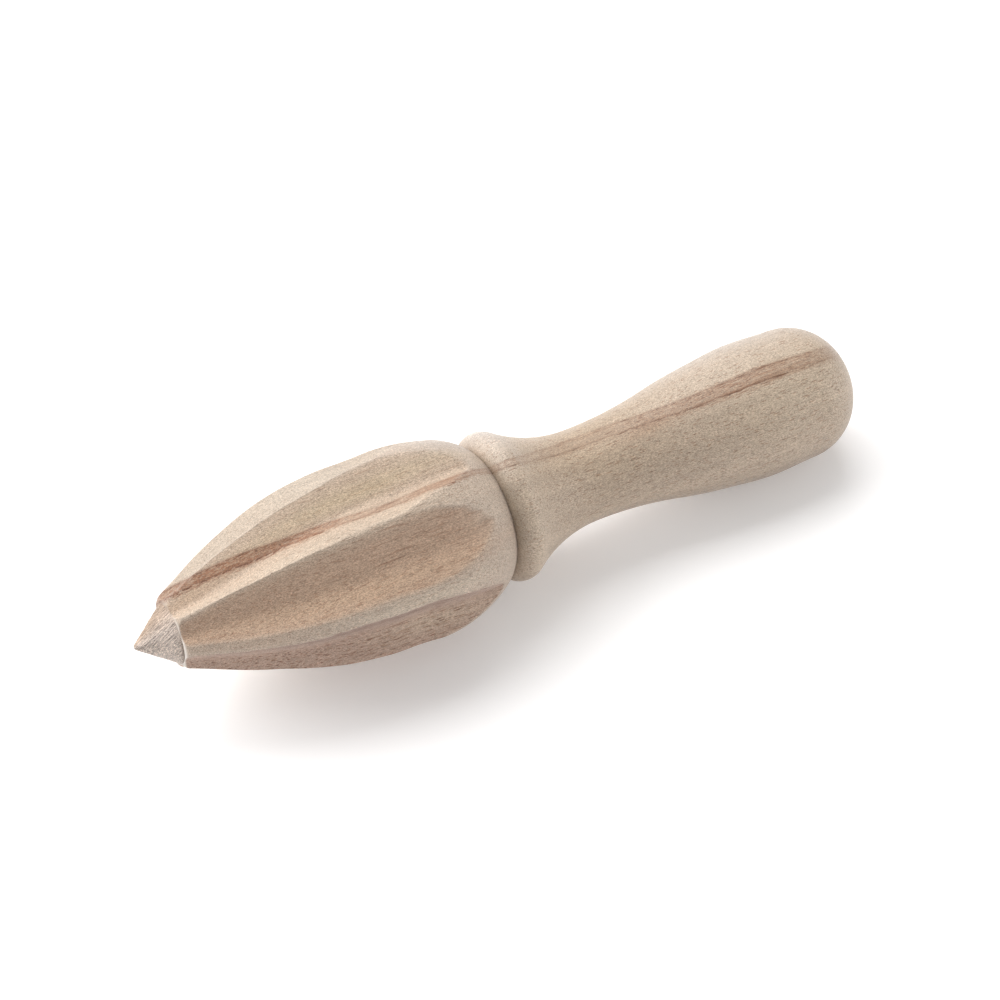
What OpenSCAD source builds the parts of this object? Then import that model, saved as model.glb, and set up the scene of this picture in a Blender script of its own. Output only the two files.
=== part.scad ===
// Lemon reamer, turned and fluted from one wooden blank. All sizes in millimetres.
// Each section is drawn upright, point at z = 0, then laid on its side with the table at z = 0.
// "at" values are distances from the point along the axis.

/* [Whole tool] */
// Length from the point to the end of the handle
total_len = 160; // [156:1:170]

/* [Tip] */
// Length of the pointed tip
tip_len = 8; // [7:0.5:9]
// Diameter of the tip where it meets the fluted head
tip_d = 12.4; // [12:0.1:12.6]
// Rounding of the very point
tip_point_r = 1; // [0.6:0.1:1.5]

/* [Reaming head] */
// Diameter over the lands where they start, behind the tip
nose_d = 14.8; // [14.4:0.1:16]
// Bevel on the front end of each land
nose_bevel = 0.7; // [0.3:0.1:0.8]
// Where the head is widest
belly_at = 57.5; // [55:0.5:59]
// Largest diameter of the head
belly_d = 40; // [38:0.5:42]
// Curve of the head just behind its widest place
shoulder_r = 30; // [28:0.5:33]
// Angle the shoulder curve turns through before the tighter curve into the groove
shoulder_turn = 31; // [29:0.5:32]
// Where the head and the collar meet in a groove
groove_at = 76; // [75.5:0.25:76.5]
// Diameter at the bottom of the groove
groove_d = 25.8; // [24:0.2:26.5]

/* [Flutes] */
// Angle of each flute round the head from the top one, cut side by side by eye, so the gaps vary
flute_angles = [0, 44, 96, 139, 180, 221, 267, 316];
// Angle between the two walls of a flute
flute_v = 140; // [136:1:144]
// Rounding at the bottom of a flute
flute_bottom_r = 4; // [3:0.5:5]
// Diameter over the flute bottoms at the front of the head
flute_nose_d = 12.8; // [12.8:0.1:13.2]
// Diameter over the flute bottoms where the flutes begin to run out
flute_heel_d = 33.7; // [33.2:0.1:34.2]
// Where the flutes begin to run out
flute_heel_at = 68; // [66:0.5:70]
// Radius of the long curve the cutter follows
flute_sweep_r = 160; // [150:5:180]

/* [Handle] */
// Where the rounded collar is widest
collar_at = 79.4; // [78.5:0.1:80.5]
// Diameter of the collar that stops the fingers
collar_d = 31; // [29:0.5:33]
// Where the neck is thinnest
neck_at = 98; // [95:0.5:102]
// Smallest diameter of the neck
neck_d = 19.2; // [17:0.2:21]
// Curve of the neck towards the grip
neck_back_r = 93; // [80:1:110]
// Where the grip reaches its full diameter
grip_at = 139; // [136:0.5:143]
// Largest diameter of the grip
grip_d = 27.6; // [26:0.2:30]
// Rounding round the end of the grip
end_corner_r = 12; // [10:0.5:12.5]

/* [Resting] */
// Where the lands beside the lowest flute touch the table
rest_at = 61.2; // [60:0.1:62.5]

/* [Hidden] */
$fn = 180;
tip_colour = "#b09a80";
head_colour = "#d3b48c";
handle_colour = "#cfb596";

tip_r = tip_d / 2;
nose_r = nose_d / 2;
belly_r = belly_d / 2;
groove_r = groove_d / 2;
collar_r = collar_d / 2;
neck_r = neck_d / 2;
grip_r = grip_d / 2;

// Neighbouring curves lap each other, and each stands proud of the last by the blend, to join cleanly
lap = 1;
blend = 0.001;

// Half angle of the tip's cone, tangent to the rounding of the point
tip_half = acos(tip_point_r / norm([tip_r, tip_len - tip_point_r])) - atan2(tip_len - tip_point_r, tip_r);
point_cut = tip_point_r * (1 - sin(tip_half));

// Front curve of the head, level at the belly and passing through the nose
nose_curve_r = (pow(belly_at - tip_len, 2) + pow(belly_r - nose_r, 2)) / (2 * (belly_r - nose_r));

// Shoulder curve, then a tighter curve tangent to it that ends at the groove
shoulder_end = [
    belly_r - shoulder_r * (1 - cos(shoulder_turn)),
    belly_at + shoulder_r * sin(shoulder_turn)
];
turn_dir = [cos(shoulder_turn), sin(shoulder_turn)];
to_groove = [groove_r, groove_at] - shoulder_end;
heel_r = -(to_groove * to_groove) / (2 * (to_groove * turn_dir));
heel_centre = shoulder_end - heel_r * turn_dir;

// Cutter's curve: a circle in the plane of the axis through the two flute bottom points
flute_v_half = flute_v / 2;
cut_front = [flute_nose_d / 2, tip_len];
cut_back = [flute_heel_d / 2, flute_heel_at];
cut_chord = cut_back - cut_front;
cut_dir = cut_chord / norm(cut_chord);
cut_rise = sqrt(pow(flute_sweep_r, 2) - pow(norm(cut_chord) / 2, 2));
cut_centre = (cut_front + cut_back) / 2 + cut_rise * [-cut_dir[1], cut_dir[0]];
// The sweep starts before the nose and ends past the groove
cut_margin = 4;
cut_start = asin((tip_len - cut_margin - cut_centre[1]) / flute_sweep_r);
cut_end = asin((groove_at + cut_margin - cut_centre[1]) / flute_sweep_r);

// Collar, cove, neck and grip curves, each tangent to the next
collar_curve_r = (pow(collar_at - groove_at, 2) + pow(collar_r - groove_r, 2)) / (2 * (collar_r - groove_r));
collar_drop = collar_r - neck_r;
cove_sum = (pow(neck_at - collar_at, 2) + pow(collar_drop, 2)) / (2 * collar_drop);
cove_r = cove_sum - collar_curve_r;
cove_start = collar_at + (neck_at - collar_at) * collar_curve_r / cove_sum;
grip_rise = grip_r - neck_r;
grip_sum = (pow(grip_at - neck_at, 2) + pow(grip_rise, 2)) / (2 * grip_rise);
grip_curve_r = grip_sum - neck_back_r;
grip_start = neck_at + (grip_at - neck_at) * neck_back_r / grip_sum;
corner_at = total_len - end_corner_r;

// How the tool lies: two lands and the grip's edge on the table, a flute facing straight up
function shoulder_radius(at) = belly_r - shoulder_r + sqrt(pow(shoulder_r, 2) - pow(at - belly_at, 2));
function flute_radius(at) = cut_centre[0] + sqrt(pow(flute_sweep_r, 2) - pow(at - cut_centre[1], 2));
function flute_apex(at) = flute_radius(at) - flute_bottom_r * (1 / sin(flute_v_half) - 1);
function flute_half(at) = flute_v_half - asin(flute_apex(at) * sin(flute_v_half) / shoulder_radius(at));
rest_r = shoulder_radius(rest_at) * cos(flute_half(rest_at));
rest_tilt = atan2(rest_r - grip_r, corner_at - rest_at);
rest_height = rest_r * cos(rest_tilt) + rest_at * sin(rest_tilt);
rest_back = (corner_at * cos(rest_tilt) + (grip_r - end_corner_r) * sin(rest_tilt) + end_corner_r) / 2;

module lie_down() {
    translate([-rest_back, 0, rest_height])
        rotate([0, 90 + rest_tilt, 0])
            children();
}

// The band between two heights, from the axis out to a circle that bulges outwards
module arc_band(radius, centre, low, high) {
    intersection() {
        translate(centre)
            circle(radius);
        polygon([[0, low], [belly_d, low], [belly_d, high], [0, high]]);
    }
    if (centre[0] > 0)
        polygon([[0, low], [centre[0], low], [centre[0], high], [0, high]]);
}

// The band between two heights, from the axis out to a circle that hollows it
module cove_band(radius, centre, low, high) {
    difference() {
        polygon([[0, low], [centre[0], low], [centre[0], high], [0, high]]);
        translate(centre)
            circle(radius);
    }
}

module tip_profile() {
    polygon([
        [0, point_cut],
        [tip_point_r * cos(tip_half), point_cut],
        [tip_r, tip_len],
        [0, tip_len]
    ]);
    arc_band(tip_point_r, [0, tip_point_r], 0, point_cut);
}

module head_profile() {
    difference() {
        union() {
            arc_band(nose_curve_r, [belly_r - nose_curve_r, belly_at], tip_len, belly_at);
            arc_band(shoulder_r + blend, [belly_r - shoulder_r, belly_at], belly_at - lap, shoulder_end[1]);
            arc_band(heel_r + 2 * blend, heel_centre, shoulder_end[1] - lap, groove_at);
        }
        polygon([
            [nose_r - nose_bevel, tip_len],
            [nose_r + nose_bevel, tip_len + 2 * nose_bevel],
            [nose_r + nose_bevel, tip_len - nose_bevel],
            [nose_r - nose_bevel, tip_len - nose_bevel]
        ]);
    }
}

module handle_profile() {
    arc_band(collar_curve_r + blend, [collar_r - collar_curve_r, collar_at], groove_at, cove_start + lap);
    cove_band(cove_r, [neck_r + cove_r, neck_at], cove_start, neck_at);
    cove_band(neck_back_r - blend, [neck_r + neck_back_r, neck_at], neck_at - lap, grip_start);
    arc_band(grip_curve_r + 2 * blend, [grip_r - grip_curve_r, grip_at], grip_start - lap, grip_at + lap);
    polygon([[0, grip_at], [grip_r, grip_at], [grip_r, corner_at], [0, corner_at]]);
    arc_band(end_corner_r + blend, [grip_r - end_corner_r, corner_at], corner_at - lap, total_len);
}

// One flute, facing +X: a rounded V swept along the cutter's curve
module flute_cutter() {
    wall_x = flute_bottom_r * (1 - sin(flute_v_half));
    wall_y = flute_bottom_r * cos(flute_v_half);
    open_y = wall_y + (belly_r - wall_x) * tan(flute_v_half);
    translate([cut_centre[0], 0, cut_centre[1]])
        rotate([90, 0, 0])
            rotate([0, 0, cut_start])
                rotate_extrude(angle = cut_end - cut_start, $fn = 720)
                    translate([flute_sweep_r, 0]) {
                        polygon([[wall_x, -wall_y], [belly_r, -open_y], [belly_r, open_y], [wall_x, wall_y]]);
                        translate([flute_bottom_r, 0])
                            circle(flute_bottom_r, $fn = 48);
                    }
}

module tip() {
    color(tip_colour)
        lie_down()
            rotate_extrude()
                tip_profile();
}

module reaming_head() {
    color(head_colour)
        lie_down()
            difference() {
                rotate_extrude()
                    head_profile();
                for (angle = flute_angles)
                    rotate([0, 0, 180 + angle])
                        flute_cutter();
            }
}

module handle() {
    color(handle_colour)
        lie_down()
            rotate_extrude()
                handle_profile();
}

tip();
reaming_head();
handle();
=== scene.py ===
import math

import bpy
import numpy as np
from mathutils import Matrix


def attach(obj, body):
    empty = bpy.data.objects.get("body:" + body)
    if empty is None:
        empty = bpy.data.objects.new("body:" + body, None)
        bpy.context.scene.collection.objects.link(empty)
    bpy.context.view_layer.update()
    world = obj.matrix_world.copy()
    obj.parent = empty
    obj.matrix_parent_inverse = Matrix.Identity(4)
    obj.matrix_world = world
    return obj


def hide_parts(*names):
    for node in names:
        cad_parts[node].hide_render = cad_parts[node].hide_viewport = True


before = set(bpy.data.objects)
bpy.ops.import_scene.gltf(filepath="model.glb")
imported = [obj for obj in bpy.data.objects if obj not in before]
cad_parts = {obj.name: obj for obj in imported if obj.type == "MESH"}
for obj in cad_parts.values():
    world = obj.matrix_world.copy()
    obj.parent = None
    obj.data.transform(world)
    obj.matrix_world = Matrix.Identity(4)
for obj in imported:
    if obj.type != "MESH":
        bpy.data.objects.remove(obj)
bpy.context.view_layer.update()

# how the tool lies on the table: its length and where its point is in mm, and how far its axis leans down
lie = {"length": 160, "pointX": -79.9292, "pointZ": 22.2930, "lean": math.radians(3.2986)}


def toWorld(along, side, up):
    # along the axis from the point, side towards the camera, up square to the axis: mm in, metres out
    sin, cos = math.sin(lie["lean"]), math.cos(lie["lean"])
    x = lie["pointX"] + along * cos + up * sin
    z = lie["pointZ"] - along * sin + up * cos
    return np.stack([x, -side, z], axis=-1) / 1000


def softMin(a, b, size):
    # the smaller of two radii, with the edge between them worn over a width of about size
    share = np.clip(0.5 + 0.5 * (b - a) / size, 0, 1)
    return b + (a - b) * share - size * share * (1 - share)


def softMax(a, b, size):
    return -softMin(-a, -b, size)


def ease(place):
    # 0 to 1 with a soft start and end
    place = np.clip(place, 0, 1)
    return place * place * (3 - 2 * place)


def wander(seed, place, longest, shortest, amount):
    # a slow hand-made drift: six waves with lengths between the two given, in mm
    rng = np.random.default_rng(seed)
    drift = np.zeros_like(place, dtype=float)
    for length in np.geomspace(longest, shortest, 6):
        drift += np.sin(2 * np.pi * place / length + rng.uniform(0, 2 * np.pi)) * rng.uniform(0.5, 1)
    return drift * amount / 3


def arcPoints(centre, radius, start, end, count):
    # points (along, radius) on an arc; angles in degrees, 0 towards the handle end and 90 outwards
    turn = np.radians(np.linspace(start, end, count))
    return np.stack([centre[0] + radius * np.cos(turn), centre[1] + radius * np.sin(turn)], axis=1)


def ringGrid(profile, columns):
    # spins a profile: along, radius and angle for every row along the tool and column round it
    angle = np.repeat(np.linspace(0, 2 * np.pi, columns, endpoint=False)[None], len(profile), axis=0)
    return np.repeat(profile[:, :1], columns, axis=1), np.repeat(profile[:, 1:], columns, axis=1), angle


def ringMesh(name, along, radius, angle, wood, marks, sharpFrom=40):
    # rows run along the tool and columns round it; angle is from straight up towards the camera
    # wood holds a colour for each point, marks hold one number for each; sharpFrom is in degrees
    rows, cols = radius.shape
    points = toWorld(along, radius * np.sin(angle), radius * np.cos(angle)).reshape(-1, 3)
    ends = toWorld(np.array([along[0].mean(), along[-1].mean()]), np.zeros(2), np.zeros(2))
    points = np.vstack([points, ends])
    row, col = np.meshgrid(np.arange(rows - 1), np.arange(cols), indexing="ij")
    here, there, right = row * cols, (row + 1) * cols, (col + 1) % cols
    quads = np.stack([here + col, here + right, there + right, there + col], axis=-1)
    faces = quads.reshape(-1, 4).tolist()
    front, back, last = rows * cols, rows * cols + 1, (rows - 1) * cols
    for j in range(cols):
        faces.append((front, (j + 1) % cols, j))
        faces.append((back, last + j, last + (j + 1) % cols))
    mesh = bpy.data.meshes.new(name)
    mesh.from_pydata(points.tolist(), [], faces)
    for mark, values in marks.items():
        layer = mesh.attributes.new(mark, "FLOAT", "POINT")
        layer.data.foreach_set("value", np.append(values.reshape(-1), [0, 0]).astype(np.float32))
    paint = mesh.attributes.new("wood", "FLOAT_COLOR", "POINT")
    colours = np.vstack([wood.reshape(-1, 4), wood[[0, -1], 0]])
    paint.data.foreach_set("color", colours.astype(np.float32).reshape(-1))
    mesh.shade_smooth()
    mesh.set_sharp_from_angle(angle=math.radians(sharpFrom))
    piece = bpy.data.objects.new(name, mesh)
    bpy.context.collection.objects.link(piece)
    print(name, "made:", len(points), "points")
    return piece


def linear(hexColour):
    parts = [int(hexColour[i:i + 2], 16) / 255 for i in (1, 3, 5)]
    return tuple(p / 12.92 if p <= 0.04045 else ((p + 0.055) / 1.055) ** 2.4 for p in parts) + (1,)


def patchWood(wood, along, angle, patches):
    # lays soft patches of other colours on the wood
    # each says where along and how long in mm, where round and how wide in degrees, and its colour
    wood = np.broadcast_to(wood, along.shape + (4,))
    for at, length, turn, spread, colour in patches:
        apart = (np.degrees(angle) - turn + 180) % 360 - 180
        share = np.exp(-((along - at) / length) ** 2 - (apart / spread) ** 2)
        wood = wood + share[:, :, None] * (np.array(linear(colour)) - wood)
    return wood


def dress(piece, node, material):
    piece.data.materials.append(material)
    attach(piece, "root")
    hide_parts(node)


def addNode(tree, kind, sockets, stops=(), **settings):
    # adds one node, sets it up, and links or fills its sockets; a node given for a socket means its first output
    # stops go on a ramp, in order: places from 0 to 1, each with four values
    made = tree.nodes.new(kind)
    for key, value in settings.items():
        setattr(made, key, value)
    for i, (at, values) in enumerate(stops):
        marks = made.color_ramp.elements
        mark = marks[i] if i < 2 else marks.new(at)           # a new ramp has two stops already
        mark.position, mark.color = at, values
    for key, value in sockets.items():
        if isinstance(value, bpy.types.Node):
            value = value.outputs[0]
        if isinstance(value, bpy.types.NodeSocket):
            tree.links.new(value, made.inputs[key])
        else:
            made.inputs[key].default_value = value
    return made


# heartwood: one brown streak in the blank, so every piece shares it
# its sheet is y + climb * up + drift = offset, in mm
heartwood = {
    "climb": 0.72, "offset": 9.5, "driftFrom": 60, "drift": 0.042,
    # how much of each colour is left in its core and in the darker lines along its edges
    "core": "#caa58d", "line": "#b8a292",
    # distance from the point: how dark its lines and core are, its half width, and how far it lies off the sheet
    "along": [
        (8, 0.8, 0.9, 1.5, -0.8), (12, 1.0, 1.0, 1.5, -0.45), (16.7, 1.0, 1.0, 1.38, -0.13),
        (20.3, 1.0, 1.0, 1.5, -0.1), (24, 1.0, 1.0, 1.75, -0.17), (28.5, 1.0, 0.95, 1.5, -0.25),
        (32, 0.6, 1.0, 1.3, -0.15), (36, 0.4, 0.95, 1.15, -0.1), (42, 0.35, 0.6, 0.95, 0.1),
        (48, 0.8, 0.42, 0.9, -0.4), (52, 1.0, 0.42, 0.85, -0.55), (56, 0.5, 0.48, 0.95, -0.45),
        (61, 0.25, 0.66, 1.0, -0.3), (66, 0.45, 0.76, 1.0, -0.35), (71, 0.5, 0.5, 0.8, 0.0),
        (76, 0.6, 0.4, 1.05, -0.5), (80, 0.8, 0.3, 1.3, -0.55), (85, 0.5, 0.15, 1.5, -0.65),
        (92, 0.9, 0.25, 1.9, -0.87), (98, 0.65, 0.28, 2.0, -0.7), (106, 0.9, 0.32, 2.05, -0.7),
        (111, 1.0, 0.5, 1.97, -0.76), (117, 0.7, 0.5, 2.05, -0.72), (123, 0.85, 0.55, 2.14, -0.65),
        (130, 1.0, 0.68, 2.2, -0.5), (138, 0.95, 0.66, 2.5, -0.15), (144, 0.85, 0.58, 2.3, 0.05),
        (150, 0.75, 0.45, 2.2, -0.08), (155, 0.4, 0.25, 2.1, -0.05), (158, 0.1, 0.1, 2.1, 0.0)],
    "widest": 3, "furthest": 2,
    # across it, from one side to the other over this many half widths: lines and core
    "acrossWidth": 2.5,
    "across": [
        (0.02, 0, 0.08), (0.1, 0, 0.35), (0.17, 0.05, 0.6), (0.24, 0.2, 0.8), (0.28, 0.95, 0.95),
        (0.31, 0.6, 1.0), (0.36, 0.1, 0.95), (0.52, 0, 0.9), (0.72, 0.1, 0.95), (0.8, 0.25, 1.0),
        (0.84, 0.95, 0.8), (0.88, 0.15, 0.45), (0.95, 0, 0.2)],
    "waverSize": (26, 8, 8), "waver": 0.3,                    # slow bends, in mm
    # its threads: really finer, drawn as coarse as they need to show; they fray its edges and vary its strength
    "threadSize": (9, 0.3, 0.3), "fray": 0.3, "weakest": 0.5, "strongest": 1.3,
}

# what the three beech finishes share: sizes in mm, x along the grain
beech = {
    "bandSize": (90, 14, 2.5),                                # growth bands, in sheets parallel to the heartwood
    "fuzzAlong": 0.3,                                         # below 1 draws the fuzz out along the grain
    "lineFrom": 0.52, "lineTo": 0.68,                         # threads this dense turn into dark grain lines
    "fleckEdge": 0.36, "fleckCore": 0.12, "fleckSink": 0.4,   # where a fleck fades out in its cell, and its depth
    "ior": 1.5, "sheenRoughness": 0.4, "smoother": 0.05, "rougher": 0.07,
}


def beechMaterial(name, look):
    # bare beech: pale, close grain with short dark ray flecks that run along the blank, no finish on it
    material = bpy.data.materials.new(name)
    material.use_nodes = True
    tree = material.node_tree
    shader = tree.nodes["Principled BSDF"]
    stained = {"data_type": "RGBA", "blend_type": "MULTIPLY"}
    noiseSpan = {"From Min": 0.3, "From Max": 0.7}            # nearly all of a noise lies between these
    sin, cos = math.sin(lie["lean"]), math.cos(lie["lean"])
    shift = (-(lie["pointX"] * cos - lie["pointZ"] * sin), 0, -(lie["pointX"] * sin + lie["pointZ"] * cos))
    coords = addNode(tree, "ShaderNodeTexCoord", {})
    # metres in the frame to mm in the blank: x along the grain, z up
    grain = addNode(tree, "ShaderNodeMapping", {
        "Vector": coords.outputs["Object"], "Scale": (1000, 1000, 1000),
        "Rotation": (0, -lie["lean"], 0), "Location": shift})
    axis = addNode(tree, "ShaderNodeSeparateXYZ", {"Vector": grain})

    # growth bands: about 2.5 mm apart and long along the grain
    bands = addNode(tree, "ShaderNodeMapping", {
        "Vector": grain, "Rotation": (math.atan2(1, heartwood["climb"]), 0, 0)})
    bands = addNode(tree, "ShaderNodeVectorMath", {
        0: bands, 1: [1 / size for size in beech["bandSize"]]}, operation="MULTIPLY")
    tone = addNode(tree, "ShaderNodeTexNoise", {"Vector": bands, "Scale": 1, "Detail": 2, "Roughness": 0.5})
    # fibres: really 0.02 mm wide, drawn coarser so that they show
    strands = addNode(tree, "ShaderNodeMapping", {
        "Vector": grain, "Rotation": (0, math.radians(look["strandTurn"]), 0)})
    strands = addNode(tree, "ShaderNodeVectorMath", {
        0: strands, 1: (1 / look["strandLength"], 1 / look["strandWidth"], 1 / look["strandWidth"])},
        operation="MULTIPLY")
    fibre = addNode(tree, "ShaderNodeTexNoise", {"Vector": strands, "Scale": 1, "Detail": 4, "Roughness": 0.62})
    # fuzz left by the sandpaper: really finer than the pixels, drawn coarser
    fuzz = addNode(tree, "ShaderNodeVectorMath", {
        0: grain, 1: (beech["fuzzAlong"] / look["fuzzSize"], 1 / look["fuzzSize"], 1 / look["fuzzSize"])},
        operation="MULTIPLY")
    fuzz = addNode(tree, "ShaderNodeTexNoise", {"Vector": fuzz, "Scale": 1, "Detail": 2, "Roughness": 0.7})
    tint = addNode(tree, "ShaderNodeMix", {0: look["fibreShare"], 2: tone, 3: fibre})
    tint = addNode(tree, "ShaderNodeMapRange", {
        "Value": tint, **noiseSpan, "To Min": 1 + look["grain"], "To Max": 1 - look["grain"]})
    grit = addNode(tree, "ShaderNodeMapRange", {
        "Value": fuzz, "From Min": 0.25, "From Max": 0.75, "To Min": 1 - look["grit"], "To Max": 1 + look["grit"]})
    tint = addNode(tree, "ShaderNodeMath", {0: tint, 1: grit}, operation="MULTIPLY")
    wood = addNode(tree, "ShaderNodeAttribute", {}, attribute_name="wood")
    colour = addNode(tree, "ShaderNodeVectorMath", {
        0: wood.outputs["Color"], "Scale": tint}, operation="SCALE").outputs[0]

    # heartwood streak: distance from its sheet, wavering and frayed by the threads
    waver = addNode(tree, "ShaderNodeVectorMath", {
        0: grain, 1: [1 / size for size in heartwood["waverSize"]]}, operation="MULTIPLY")
    waver = addNode(tree, "ShaderNodeTexNoise", {"Vector": waver, "Scale": 1, "Detail": 2})
    waver = addNode(tree, "ShaderNodeMapRange", {
        "Value": waver, **noiseSpan, "To Min": -heartwood["waver"], "To Max": heartwood["waver"]})
    threads = addNode(tree, "ShaderNodeVectorMath", {
        0: grain, 1: [1 / size for size in heartwood["threadSize"]]}, operation="MULTIPLY")
    threads = addNode(tree, "ShaderNodeTexNoise", {"Vector": threads, "Scale": 1, "Detail": 3, "Roughness": 0.6})
    fray = addNode(tree, "ShaderNodeMapRange", {
        "Value": threads, **noiseSpan, "To Min": -heartwood["fray"], "To Max": heartwood["fray"]})
    strength = addNode(tree, "ShaderNodeMapRange", {
        "Value": threads, "From Min": 0.35, "From Max": 0.65,
        "To Min": heartwood["weakest"] * look["streak"], "To Max": heartwood["strongest"] * look["streak"]})
    sheet = addNode(tree, "ShaderNodeVectorMath", {0: grain, 1: (0, 1, heartwood["climb"])}, operation="DOT_PRODUCT")
    sheet = addNode(tree, "ShaderNodeMath", {0: sheet.outputs["Value"], 1: waver}, operation="ADD")
    sheet = addNode(tree, "ShaderNodeMath", {0: sheet, 1: fray}, operation="ADD")
    drift = heartwood["drift"] * (lie["length"] - heartwood["driftFrom"])
    slant = addNode(tree, "ShaderNodeMapRange", {
        "Value": axis.outputs["X"], "From Min": heartwood["driftFrom"], "From Max": lie["length"],
        "To Min": -heartwood["offset"], "To Max": drift - heartwood["offset"]})
    sheet = addNode(tree, "ShaderNodeMath", {0: sheet, 1: slant}, operation="ADD")
    place = addNode(tree, "ShaderNodeMapRange", {
        "Value": axis.outputs["X"], "From Min": 0, "From Max": lie["length"]})
    widest, furthest = heartwood["widest"], heartwood["furthest"]
    ramp = addNode(tree, "ShaderNodeValToRGB", {"Fac": place}, stops=[
        (at / lie["length"], (line, core, half / widest, 0.5 + off / furthest / 2))
        for at, line, core, half, off in heartwood["along"]])
    along = addNode(tree, "ShaderNodeSeparateColor", {"Color": ramp.outputs["Color"]})
    off = addNode(tree, "ShaderNodeMapRange", {
        "Value": ramp.outputs["Alpha"], "To Min": -furthest, "To Max": furthest})
    sheet = addNode(tree, "ShaderNodeMath", {0: sheet, 1: off}, operation="SUBTRACT")
    wide = addNode(tree, "ShaderNodeMath", {
        0: along.outputs["Blue"], 1: heartwood["acrossWidth"] * widest}, operation="MULTIPLY")
    across = addNode(tree, "ShaderNodeMath", {0: sheet, 1: wide}, operation="DIVIDE")
    across = addNode(tree, "ShaderNodeMath", {0: across, 1: 0.5}, operation="ADD")
    clear = (0, 0, 0, 1)
    stops = [(at, (line, core, 0, 1)) for at, line, core in heartwood["across"]]
    profile = addNode(tree, "ShaderNodeValToRGB", {"Fac": across}, stops=[(0, clear)] + stops + [(1, clear)])
    profile = addNode(tree, "ShaderNodeSeparateColor", {"Color": profile})
    for channel, kind in (("Green", "core"), ("Red", "line")):
        stain = addNode(tree, "ShaderNodeMath", {
            0: profile.outputs[channel], 1: along.outputs[channel]}, operation="MULTIPLY")
        stain = addNode(tree, "ShaderNodeMath", {0: stain, 1: strength}, operation="MULTIPLY")
        colour = addNode(tree, "ShaderNodeMix", {
            0: stain, 6: colour, 7: linear(heartwood[kind])}, **stained).outputs[2]

    # dark grain lines, where the cut lays the rings open
    lines = addNode(tree, "ShaderNodeMapRange", {
        "Value": threads, "From Min": beech["lineFrom"], "From Max": beech["lineTo"]},
        interpolation_type="SMOOTHSTEP")
    opened = addNode(tree, "ShaderNodeAttribute", {}, attribute_name="lines")
    lines = addNode(tree, "ShaderNodeMath", {0: lines, 1: opened.outputs["Fac"]}, operation="MULTIPLY")
    colour = addNode(tree, "ShaderNodeMix", {0: lines, 6: colour, 7: linear(look["fleck"])}, **stained).outputs[2]

    # ray flecks: dashes up to about half as long and half as wide as their cells
    cells = addNode(tree, "ShaderNodeVectorMath", {
        0: grain, 1: (1 / look["fleckLength"], 1 / look["fleckWidth"], 1 / look["fleckWidth"])},
        operation="MULTIPLY")
    cells = addNode(tree, "ShaderNodeTexVoronoi", {"Vector": cells, "Scale": 1, "Randomness": 1})
    dash = addNode(tree, "ShaderNodeMapRange", {
        "Value": cells.outputs["Distance"], "From Min": beech["fleckEdge"], "From Max": beech["fleckCore"]},
        interpolation_type="SMOOTHSTEP")
    chosen = addNode(tree, "ShaderNodeMath", {
        0: cells.outputs["Color"], 1: 1 - look["fleckShare"]}, operation="GREATER_THAN")
    dash = addNode(tree, "ShaderNodeMath", {0: dash, 1: chosen}, operation="MULTIPLY")
    dark = addNode(tree, "ShaderNodeMath", {0: dash, 1: look["fleckDepth"]}, operation="MULTIPLY")
    # cuts across the rays show them more than cuts along them
    rays = addNode(tree, "ShaderNodeAttribute", {}, attribute_name="rays")
    dark = addNode(tree, "ShaderNodeMath", {0: dark, 1: rays.outputs["Fac"]}, operation="MULTIPLY")
    colour = addNode(tree, "ShaderNodeMix", {0: dark, 6: colour, 7: linear(look["fleck"])}, **stained).outputs[2]
    if "burrAndHighlight" in look:
        # a pale line along the front rim: torn white fibres and a painted highlight
        burrAndHighlight = addNode(tree, "ShaderNodeAttribute", {}, attribute_name="burrAndHighlight")
        colour = addNode(tree, "ShaderNodeMix", {
            0: burrAndHighlight.outputs["Fac"], 6: colour, 7: linear(look["burrAndHighlight"])}, data_type="RGBA").outputs[2]
    tree.links.new(colour, shader.inputs["Base Color"])

    # dry wood scatters light widely; the fibres make it a little uneven
    rough = addNode(tree, "ShaderNodeMapRange", {
        "Value": fibre, **noiseSpan,
        "To Min": look["roughness"] - beech["smoother"], "To Max": look["roughness"] + beech["rougher"]})
    tree.links.new(rough.outputs[0], shader.inputs["Roughness"])
    shader.inputs["IOR"].default_value = beech["ior"]
    # loose fibre ends catch the light at the edges
    shader.inputs["Sheen Weight"].default_value = look["sheen"]
    shader.inputs["Sheen Roughness"].default_value = beech["sheenRoughness"]

    # relief: raised fibres, fuzz and sunk flecks
    relief = addNode(tree, "ShaderNodeMath", {0: fuzz, 1: look["fuzz"], 2: fibre}, operation="MULTIPLY_ADD")
    relief = addNode(tree, "ShaderNodeMath", {0: dash, 1: -beech["fleckSink"], 2: relief}, operation="MULTIPLY_ADD")
    bump = addNode(tree, "ShaderNodeBump", {
        "Strength": 1, "Distance": look["reliefDepth"] / 1000, "Height": relief})
    tree.links.new(bump.outputs[0], shader.inputs["Normal"])
    return material


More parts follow.
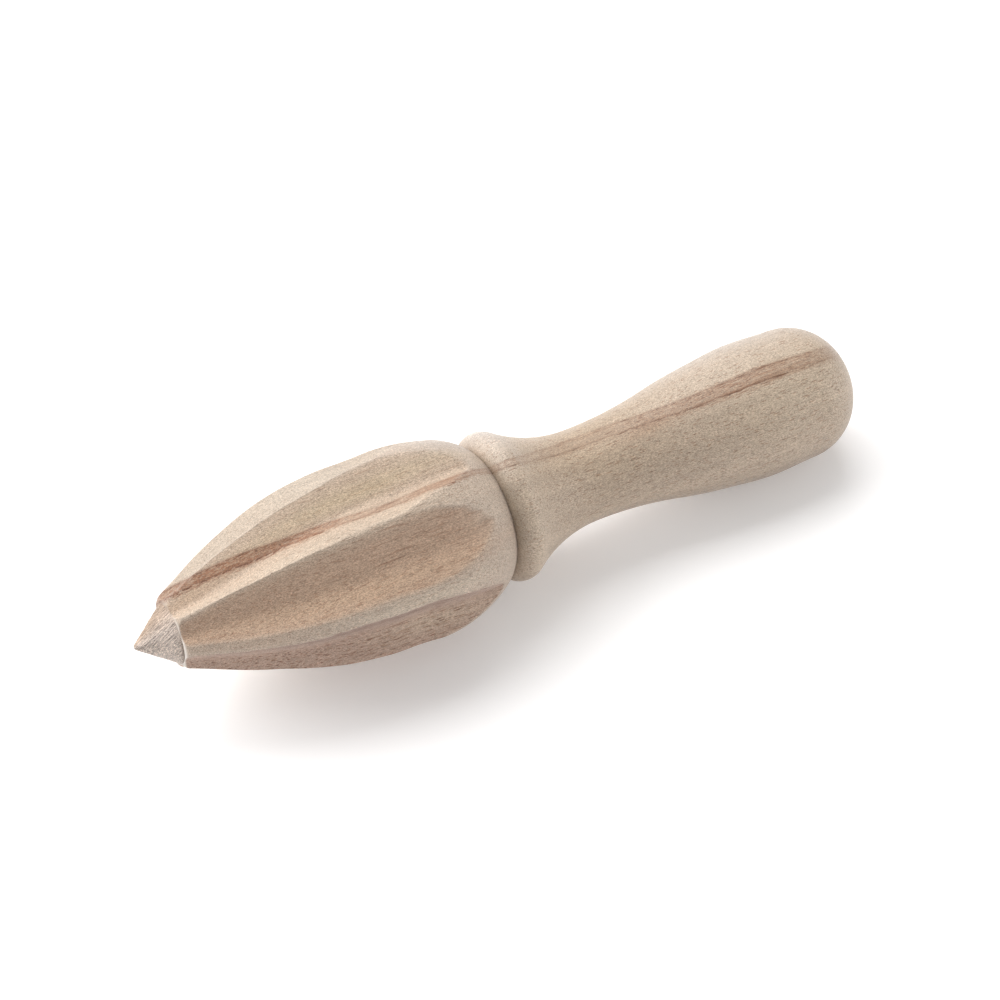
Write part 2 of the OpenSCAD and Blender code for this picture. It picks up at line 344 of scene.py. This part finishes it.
# reaming head: an ovoid turned like the handle, then cut with eight flutes by eye
head = {
    # rows of points along it: from, to and how many
    "rows": [(8, 10, 14), (10.5, 60, 84), (60.4, 72, 40), (72.2, 76, 18)],
    "noseAt": 8, "noseRadius": 7.4, "noseFront": 6.75, "noseBevel": 1.6, "bevelWear": 0.5,
    "bellyAt": 57.5, "bellyRadius": 19.99, "shoulderRadius": 30, "shoulderTurn": 31,
    "swell": 0.48, "swellAt": 33.5, "swellLength": 10, "slim": 0.28, "slimAt": 12, "slimLength": 4.5,
    "grooveAt": 76, "grooveRadius": 12.9,
    # points across a flute, how near its edges the outer ones lie, and points over a land
    "fluteColumns": 31, "fluteReach": 0.985, "landColumns": 7,
    # flutes in turn from the top one: degrees from straight up towards the camera, how far each strays at the
    # nose and from where, how much shallower it gets there, and the rounding of its bottom
    "fluteTurns": [0.5, 44.6, 97.6, 139, 180, 221, 267, 314.5],
    "fluteStray": [0, 0, 4.5, -1.5, 1.5, -1, 2, 7.5],
    "strayFrom": [43, 43, 43, 43, 43, 43, 43, 58], "strayLength": 20,
    "fluteLift": [0, 0, 0, 0, 0, 0, 0, 0.45],
    "fluteRounds": [0.5, 0.6, 0.8, 0.8, 1.0, 0.9, 0.6, 0.8],
    # how far each crease lies off the middle at the nose, where that begins, and how much its walls turn with it
    "fluteSkew": [8.5, 7, 0, 0, 0, 0, 0, 0],
    "skewFrom": [46, 66, 40, 40, 40, 40, 40, 40],
    "skewLength": [34, 50, 30, 30, 30, 30, 30, 30],
    "skewUpper": 0.15, "skewLower": 0.7,
    # the same near the shoulder, where a lower wall gets steeper
    "heelSkew": [2.5, 0, 0, 0, 0, 0, 0, 0], "heelFrom": 50, "heelLength": 10, "heelUpper": 0.6, "heelLower": 3,
    # turned lands are pale and greyish; the flutes cut into warmer wood
    "land": "#b2a191",
    "flutes": ["#b5a08c", "#af947e", "#a58b7a", "#a68c78", "#aa937e", "#a8907b", "#ac9782", "#b1a190"],
    "fluteRays": [0.25, 0.5, 1.6, 1.2, 0.7, 0.9, 0.6, 0.2], "landRays": 0.6,
    "fluteLines": [0.4, 0.6, 0.95, 1.0, 0.8, 0.8, 0.5, 0.3], "landLines": 0.3,
    # depth in mm over which each flute takes its own colour, and the share of it that shows at the edge already
    "fluteFade": [0.9, 0.9, 0.35, 0.5, 0.6, 0.6, 0.6, 0.9], "fluteBleed": 0.25,
    # patches: where along and how long, where round and how wide in degrees, colour
    "landPatches": [(20, 14, 73, 6, "#ae9a88"), (52, 18, 72, 6, "#bcac9a")],     # a land that pales away from the nose
    "flutePatches": [(38, 32, 80, 8, "#866b5c"), (56, 12, 105, 8, "#b19b87")],   # painted shade on a wall that faces down, and a paler end
    "patches": [
        (30, 10, -4, 6, "#aa937d"), (14, 9, -3, 12, "#ad947d"),      # stained wood beside the heartwood
        (48, 24, -9, 6, "#b5a187"), (38, 32, 58, 7, "#b69a81"),      # walls cut into yellower wood
        (36, 36, 20, 7, "#b8a693"),                                  # pale edge
        (44, 10, -52, 12, "#b6a898"),                                # pale wall on the far side
        (71, 4, 31, 14, "#b7a695"), (67, 7, -42, 22, "#b9ada2")],    # pale shoulder, with a painted highlight over its top
    "fluteLean": 20,                                          # how far each wall leans from square to the middle line
    "fluteNose": 6.14, "fluteHeel": 16.59, "fluteHeelAt": 68, "fluteSweep": 160, "fluteFollow": 0.8,
    "narrowest": 1, "crest": 0.7,                             # least half width of a flute, and of a ridge, in degrees
    "bellyDip": 0.45, "bellyDipAt": 54.5, "bellyDipLength": 5.5,
    "edgeWear": 0.16,
    "handWander": 0.08, "wanderLongest": 40, "wanderShortest": 3, "wanderSeed": 11,
    # pale line on the front rim, torn fibres and a painted highlight: how far back, how far round, and the middle of
    # it in degrees
    "burrLength": 0.15, "burrReach": 1.2, "burrTurn": 85,
}
headLook = {
    # bare turned wood with torn fibres in the flutes: dry and matt
    "fibreShare": 0.6, "strandTurn": 0, "strandLength": 6, "strandWidth": 0.45, "streak": 1.0,
    "grain": 0.15, "grit": 0.65, "sheen": 0.15,
    "fleck": "#c3a896", "fleckShare": 0.7, "fleckDepth": 0.75, "fleckLength": 3.4, "fleckWidth": 0.4,
    # colour of the pale front rim: torn fibres and a painted highlight
    "burrAndHighlight": "#d6cdc4",
    "roughness": 0.55, "fuzz": 1.0, "fuzzSize": 0.13, "reliefDepth": 0.06,
}


def noseShape(at):
    # the nose as turned by hand: a little slim at the front and full behind
    full = head["swell"] * np.exp(-((at - head["swellAt"]) / head["swellLength"]) ** 2)
    return full - head["slim"] * np.exp(-((at - head["slimAt"]) / head["slimLength"]) ** 2)


def headRadius(at):
    # the turned ovoid: nose curve, shoulder curve, then a tight curve into the groove
    belly, r, shoulderCurve = head["bellyAt"], head["bellyRadius"], head["shoulderRadius"]
    rise = r - head["noseRadius"]
    noseCurve = ((belly - head["noseAt"]) ** 2 + rise ** 2) / (2 * rise)
    turn = math.radians(head["shoulderTurn"])
    outDir = np.array([math.cos(turn), math.sin(turn)])
    shoulderEnd = np.array([r - shoulderCurve, belly]) + shoulderCurve * outDir
    toGroove = np.array([head["grooveRadius"], head["grooveAt"]]) - shoulderEnd
    heelCurve = -(toGroove @ toGroove) / (2 * (toGroove @ outDir))
    heelCentre = shoulderEnd - heelCurve * outDir
    nose = r - noseCurve + np.sqrt(noseCurve ** 2 - (np.minimum(at, belly) - belly) ** 2)
    shoulder = r - shoulderCurve + np.sqrt(shoulderCurve ** 2 - (np.clip(at, belly, shoulderEnd[1]) - belly) ** 2)
    heel = heelCentre[0] + np.sqrt(np.maximum(heelCurve ** 2 - (at - heelCentre[1]) ** 2, 0))
    return np.where(at < belly, nose, np.where(at < shoulderEnd[1], shoulder, heel)) + noseShape(at)


def fluteApex(at):
    # the cutter's path, where the walls of the V would meet: one long arc through the nose and heel points
    front = np.array([head["fluteNose"], head["noseAt"]])
    chord = np.array([head["fluteHeel"], head["fluteHeelAt"]]) - front
    span = np.linalg.norm(chord)
    across = np.array([-chord[1], chord[0]]) / span
    centre = front + chord / 2 + across * math.sqrt(head["fluteSweep"] ** 2 - span ** 2 / 4)
    path = centre[0] + np.sqrt(head["fluteSweep"] ** 2 - (at - centre[1]) ** 2)
    # it follows the nose, and is pressed in a little deeper at the belly
    dip = head["bellyDip"] * np.exp(-((at - head["bellyDipAt"]) / head["bellyDipLength"]) ** 2)
    return path + head["fluteFollow"] * noseShape(at) - dip


def wallRadius(flat, lean, angle, outside=99, leastSlope=0.05):
    # radius of a flat wall: its distance from the axis, the way it faces, and the angle asked for
    slope = np.cos(angle - lean)
    return np.where(slope > leastSlope, flat / np.maximum(slope, leastSlope), outside)


def makeHead():
    at = np.concatenate([np.linspace(*stretch) for stretch in head["rows"]])
    full = headRadius(at)
    full = softMin(full, head["noseFront"] + (at - head["noseAt"]) * head["noseBevel"], head["bevelWear"])
    count = len(head["fluteTurns"])
    lean, narrowest, crest = (math.radians(head[key]) for key in ("fluteLean", "narrowest", "crest"))
    flutes = []
    for i in range(count):
        stray = ease((head["strayFrom"][i] - at) / head["strayLength"])
        skew = np.radians(head["fluteSkew"][i]) * ease((head["skewFrom"][i] - at) / head["skewLength"][i])
        heel = np.radians(head["heelSkew"][i]) * ease((at - head["heelFrom"]) / head["heelLength"])
        turn = np.radians(head["fluteTurns"][i] + head["fluteStray"][i] * stray)
        apex = fluteApex(at) + head["fluteLift"][i] * stray
        apex += wander(head["wanderSeed"] + i, at, head["wanderLongest"], head["wanderShortest"], head["handWander"])
        # the crease, then its two walls: the way each faces and how far it is from the axis
        crease = turn + skew + heel
        upper = turn + lean - head["skewUpper"] * skew - head["heelUpper"] * heel
        lower = turn - lean - head["skewLower"] * skew - head["heelLower"] * heel
        upperFlat, lowerFlat = apex * np.cos(crease - upper), apex * np.cos(crease - lower)
        before = crease - upper + np.arccos(np.minimum(upperFlat / full, 1))
        after = lower - crease + np.arccos(np.minimum(lowerFlat / full, 1))
        flutes.append({
            "crease": crease, "upper": upper, "lower": lower, "upperFlat": upperFlat, "lowerFlat": lowerFlat,
            "before": np.maximum(before, narrowest), "after": np.maximum(after, narrowest)})
    reach = head["fluteReach"]
    steps = np.concatenate([[-1], np.linspace(-reach, reach, head["fluteColumns"]), [1]])
    landSteps = np.linspace(0, 1, head["landColumns"] + 2)[1:-1]
    columns, owner = [], []
    for i in range(count):
        last, this, following = flutes[i - 1], flutes[i], flutes[(i + 1) % count]
        # a ridge is left where two flutes meet before they reach the turned surface
        gapBefore = (this["crease"] - last["crease"]) % (2 * np.pi)
        gapAfter = (following["crease"] - this["crease"]) % (2 * np.pi)
        before = this["before"] * np.minimum(1, (gapBefore - crest) / (last["after"] + this["before"]))
        shareAfter = np.minimum(1, (gapAfter - crest) / (this["after"] + following["before"]))
        after = this["after"] * shareAfter
        columns += [this["crease"] + s * np.where(s < 0, before, after) for s in steps]
        edge = this["crease"] + after
        nextEdge = this["crease"] + gapAfter - following["before"] * shareAfter
        columns += [edge * (1 - s) + nextEdge * s for s in landSteps]
        owner += [i] * (len(steps) + len(landSteps))
    angle = np.stack(columns, axis=1)
    along = np.repeat(at[:, None], angle.shape[1], axis=1)
    turned = np.repeat(full[:, None], angle.shape[1], axis=1)
    walls = np.full_like(turned, np.inf)
    for i, flute in enumerate(flutes):
        upper = wallRadius(flute["upperFlat"][:, None], flute["upper"][:, None], angle)
        lower = wallRadius(flute["lowerFlat"][:, None], flute["lower"][:, None], angle)
        walls = np.minimum(walls, softMax(upper, lower, head["fluteRounds"][i]))
    radius = softMin(turned, walls, head["edgeWear"])
    # colours, flecks and lines go from the land's to the flute's with the depth of the cut
    fade, fluteRays, fluteLines = (np.array(head[key])[owner] for key in ("fluteFade", "fluteRays", "fluteLines"))
    cut = ease((turned - walls) / fade + head["fluteBleed"])
    land = patchWood(np.array(linear(head["land"])), along, angle, head["landPatches"])
    flute = patchWood(np.array([linear(c) for c in head["flutes"]])[owner], along, angle, head["flutePatches"])
    wood = patchWood(land + cut[:, :, None] * (flute - land), along, angle, head["patches"])
    rays = head["landRays"] + cut * (fluteRays - head["landRays"])
    lines = head["landLines"] + cut * (fluteLines - head["landLines"])
    # pale front rim: torn fibres and a painted highlight, strongest on the side towards the camera, which the cutter
    # left last
    torn = np.clip(head["burrReach"] * np.cos(angle - math.radians(head["burrTurn"])), 0, 1)
    torn = np.exp(-((along - head["noseAt"]) / head["burrLength"]) ** 2) * torn
    return ringMesh("reamingHeadWood", along, radius, angle, wood, {"rays": rays, "lines": lines, "burrAndHighlight": torn})


# tip: a short cone of end grain, left rough, a little smaller than the front of the head that it stands on
tip = {
    "pointAt": 0.35, "length": 8, "rimRadius": 6.05, "pointRadius": 0.7,
    "columns": 180, "nibFrom": 178, "nibRows": 8, "sideRows": 60,     # the nib starts 2 degrees off the axis
    # torn surface: its depth, where it starts and how soon it is full, how soon it ends at the rim, how blurred
    "tornDepth": 0.03, "tornFrom": 1.2, "tornRise": 1.5, "tornEnd": 0.4, "tornBlur": 2, "tornSeed": 5,
    "wood": "#c0b1a6", "warmWoodAndShade": "#a28b77", "warmTurn": -50, "warmFrom": 0.2,     # the upper side is warmer wood, darkened with painted shade
    "patches": [(8, 0.4, 85, 50, "#7d6e62")],                 # painted shade in the corner at the rim
    "rays": 0.8, "poresAt": 1.5, "poresLength": 1.5,          # most pores are open near the point
}
tipLook = {
    # end grain: greyer and drier, scored aslant by the sanding disc, with open pores
    "fibreShare": 0.85, "strandTurn": 42, "strandLength": 4, "strandWidth": 0.18, "streak": 0.25,
    "grain": 0.95, "grit": 0.5, "sheen": 0.1,
    "fleck": "#a68f80", "fleckShare": 0.55, "fleckDepth": 0.8, "fleckLength": 0.9, "fleckWidth": 0.3,
    "roughness": 0.7, "fuzz": 0.6, "fuzzSize": 0.13, "reliefDepth": 0.14,
}


def makeTip():
    height = tip["length"] - tip["pointAt"] - tip["pointRadius"]
    reach = math.hypot(tip["rimRadius"], height)
    slope = math.degrees(math.acos(tip["pointRadius"] / reach) - math.atan2(height, tip["rimRadius"]))
    centre = (tip["pointAt"] + tip["pointRadius"], 0)
    nib = arcPoints(centre, tip["pointRadius"], tip["nibFrom"], 90 + slope, tip["nibRows"])
    side = np.linspace(nib[-1], (tip["length"], tip["rimRadius"]), tip["sideRows"])
    along, radius, angle = ringGrid(np.vstack([nib, side[1:]]), tip["columns"])
    torn = np.random.default_rng(tip["tornSeed"]).normal(size=radius.shape)
    for axisNumber in (0, 1):
        for _ in range(tip["tornBlur"]):
            torn = (np.roll(torn, 1, axisNumber) + 2 * torn + np.roll(torn, -1, axisNumber)) / 4
    inner = np.clip((along - tip["tornFrom"]) / tip["tornRise"], 0, 1)
    inner = inner * np.clip((tip["length"] - along) / tip["tornEnd"], 0, 1)
    radius = radius + torn / torn.std() * tip["tornDepth"] * inner
    # the upper side: warmer wood, with painted shade that darkens it
    warm = np.cos(angle - math.radians(tip["warmTurn"]))
    warm = np.clip((warm - tip["warmFrom"]) / (1 - tip["warmFrom"]), 0, 1)
    cool, hot = np.array(linear(tip["wood"])), np.array(linear(tip["warmWoodAndShade"]))
    wood = patchWood(cool + warm[:, :, None] * (hot - cool), along, angle, tip["patches"])
    rays = tip["rays"] + np.exp(-((along - tip["poresAt"]) / tip["poresLength"]) ** 2)
    return ringMesh("tipWood", along, radius, angle, wood, {"rays": rays, "lines": np.zeros_like(along)})


# handle: collar that stops the fingers, cove, slim neck and a grip that swells to a round end
handle = {
    "columns": 192,
    "grooveAt": 76, "grooveRadius": 12.9, "collarAt": 79.4, "collarRadius": 15.5, "collarRows": 22,
    "neckAt": 98, "neckRadius": 9.6, "coveRows": 26, "neckBack": 93, "neckRows": 24,
    "gripAt": 139, "gripRadius": 13.8, "gripRows": 24, "backRows": 10, "endCorner": 12, "endRows": 30,
    "swell": 0.4, "swellAt": 138, "swellHalf": 11,
    "wood": "#ae9c89",
    # patches: where along and how long, where round and how wide in degrees, colour
    "patches": [
        (98, 14, 0, 90, "#ab9781"),                                  # yellower neck
        (142, 16, 40, 40, "#b6a48f"),                                # paler side of the grip
        (138, 20, -48, 33, "#b5a799"),                               # painted highlight on the top of the grip
        (135, 30, 125, 25, "#9e8d7b"),                               # painted shade on the underside of the grip
        (80.5, 3.5, 78, 45, "#b8a692"),                              # pale lower half of the collar
        (76.6, 1.6, 38, 30, "#9d8d7b"),                              # painted shade on the flank of the groove
        (79.6, 2.8, -45, 40, "#c8bdb3"),                             # painted highlight on the top of the collar
        (111, 7, 17, 7, "#a08872")],                                 # stained wood beside the heartwood
    # the lower side shows more grain: how far round it starts, as a cosine, and the middle of the other side
    "rays": 1, "lowRays": 1.5, "lines": 0.25, "lowLines": 1.1, "lowFrom": 0.5, "lowTurn": 20,
}
handleLook = {
    # turned and sanded: smooth, pale and matt, only the flecks and faint bands show
    "fibreShare": 0.5, "strandTurn": 0, "strandLength": 6, "strandWidth": 0.45, "streak": 1.0,
    "grain": 0.14, "grit": 0.65, "sheen": 0.15,
    "fleck": "#c3a896", "fleckShare": 0.7, "fleckDepth": 0.75, "fleckLength": 3.2, "fleckWidth": 0.4,
    "roughness": 0.45, "fuzz": 1.2, "fuzzSize": 0.13, "reliefDepth": 0.05,
}


def makeHandle():
    collarAt, collar = handle["collarAt"], handle["collarRadius"]
    neckAt, neck, neckBack = handle["neckAt"], handle["neckRadius"], handle["neckBack"]
    gripAt, grip, endCorner = handle["gripAt"], handle["gripRadius"], handle["endCorner"]
    # collar, cove, neck and grip curves, each tangent to the next
    rise, reach = collar - handle["grooveRadius"], collarAt - handle["grooveAt"]
    collarCurve = (reach ** 2 + rise ** 2) / (2 * rise)
    drop, swell = collar - neck, grip - neck
    coveSum = ((neckAt - collarAt) ** 2 + drop ** 2) / (2 * drop)
    gripSum = ((gripAt - neckAt) ** 2 + swell ** 2) / (2 * swell)
    coveTurn = math.degrees(math.asin((neckAt - collarAt) / coveSum))
    gripTurn = math.degrees(math.asin((gripAt - neckAt) / gripSum))
    collarStart = 180 - math.degrees(math.acos(reach / collarCurve))
    cove, gripCurve = coveSum - collarCurve, gripSum - neckBack
    cornerAt = lie["length"] - endCorner
    profile = np.vstack([
        arcPoints((collarAt, collar - collarCurve), collarCurve, collarStart, 90 - coveTurn, handle["collarRows"]),
        arcPoints((neckAt, neck + cove), cove, 270 - coveTurn, 270, handle["coveRows"])[1:],
        arcPoints((neckAt, neck + neckBack), neckBack, 270, 270 + gripTurn, handle["neckRows"])[1:],
        arcPoints((gripAt, grip - gripCurve), gripCurve, 90 + gripTurn, 90, handle["gripRows"])[1:],
        np.linspace((gripAt, grip), (cornerAt, grip), handle["backRows"])[1:-1],
        arcPoints((cornerAt, grip - endCorner), endCorner, 90, 0, handle["endRows"]),
    ])
    along, radius, angle = ringGrid(profile, handle["columns"])
    # sanded fuller by hand in the middle of the grip
    place = np.clip((along - handle["swellAt"]) / handle["swellHalf"], -1, 1)
    radius = radius + handle["swell"] * np.cos(place * np.pi / 2) ** 2
    wood = patchWood(np.array(linear(handle["wood"])), along, angle, handle["patches"])
    low = ease(handle["lowFrom"] - np.cos(angle - math.radians(handle["lowTurn"])))
    rays = handle["rays"] + (handle["lowRays"] - handle["rays"]) * low
    lines = handle["lines"] + (handle["lowLines"] - handle["lines"]) * low
    return ringMesh("handleWood", along, radius, angle, wood, {"rays": rays, "lines": lines})


dress(makeTip(), "tip", beechMaterial("beechEndGrainSawn", tipLook))
dress(makeHead(), "reaming_head", beechMaterial("beechTurnedAndFluted", headLook))
dress(makeHandle(), "handle", beechMaterial("beechTurnedSanded", handleLook))

# floor: white opal acrylic, larger than the view and softly lit through, so that shadows stay faint
floor = {
    "size": 6.0, "white": "#f7f6f6", "shade": "#f2f1f1", "glow": 0.17,
    "cloudSize": 0.08, "roughness": 0.9, "specular": 0.1,     # faint clouds, drawn 80 mm wide; sizes in m
}


def makeFloor():
    s = floor["size"] / 2
    mesh = bpy.data.meshes.new("floorSheet")
    mesh.from_pydata([(-s, -s, 0), (s, -s, 0), (s, s, 0), (-s, s, 0)], [], [(0, 1, 2, 3)])
    card = bpy.data.objects.new("floorSheet", mesh)
    bpy.context.collection.objects.link(card)
    material = bpy.data.materials.new("opalAcrylicMatt")
    material.use_nodes = True
    tree = material.node_tree
    place = addNode(tree, "ShaderNodeTexCoord", {})
    cloud = addNode(tree, "ShaderNodeTexNoise", {
        "Vector": place.outputs["Object"], "Scale": 1 / floor["cloudSize"], "Detail": 2})
    shade = addNode(tree, "ShaderNodeMix", {
        0: cloud, 6: linear(floor["white"]), 7: linear(floor["shade"])}, data_type="RGBA")
    shader = tree.nodes["Principled BSDF"]
    tree.links.new(shade.outputs[2], shader.inputs["Base Color"])
    shader.inputs["Roughness"].default_value = floor["roughness"]
    shader.inputs["Specular IOR Level"].default_value = floor["specular"]
    shader.inputs["Emission Color"].default_value = (1, 1, 1, 1)
    shader.inputs["Emission Strength"].default_value = floor["glow"]
    mesh.materials.append(material)


makeFloor()
print("floor laid")

# studio: an even white room with three soft boxes: key behind the point end, top behind, a low one by the handle
studio = {
    "room": 0.47, "boxDistance": 1.6,
    # compass angle from +X and height in degrees, size in m, power in W
    "boxes": {"keyBox": (135, 35, 1.4, 25.5), "topBox": (80, 60, 1.2, 16.5), "sideBox": (330, 12, 1.0, 8.8)},
}


def makeStudio():
    world = bpy.data.worlds.new("whiteRoom")
    world.use_nodes = True
    room = world.node_tree.nodes["Background"]
    room.inputs["Color"].default_value = (1, 1, 1, 1)
    room.inputs["Strength"].default_value = studio["room"]
    bpy.context.scene.world = world
    for name, (compass, height, size, power) in studio["boxes"].items():
        lamp = bpy.data.lights.new(name, "AREA")
        lamp.size = size
        lamp.energy = power
        box = bpy.data.objects.new(name, lamp)
        side, up = math.radians(compass), math.radians(height)
        aim = np.array([math.cos(up) * math.cos(side), math.cos(up) * math.sin(side), math.sin(up)])
        box.location = tuple(aim * studio["boxDistance"])
        box.rotation_euler = (math.pi / 2 - up, 0, side + math.pi / 2)
        bpy.context.collection.objects.link(box)


makeStudio()

# camera: set from the outline of the tool in a square 1000 by 1000 frame
shot = {
    "location": (-0.190736, -0.335323, 0.466549), "turn": (40.7793, 0, -29.5516),     # metres and degrees
    "lens": 108, "sensor": 36, "clip": (0.01, 20),
}
lensData = bpy.data.cameras.new("shotCamera")
lensData.lens = shot["lens"]
lensData.sensor_width = shot["sensor"]
lensData.sensor_fit = "HORIZONTAL"
lensData.clip_start, lensData.clip_end = shot["clip"]
camera = bpy.data.objects.new("shotCamera", lensData)
camera.location = shot["location"]
camera.rotation_euler = [math.radians(v) for v in shot["turn"]]
bpy.context.collection.objects.link(camera)
bpy.context.scene.camera = camera
bpy.context.scene.view_settings.view_transform = "Standard"
print("camera and light set")
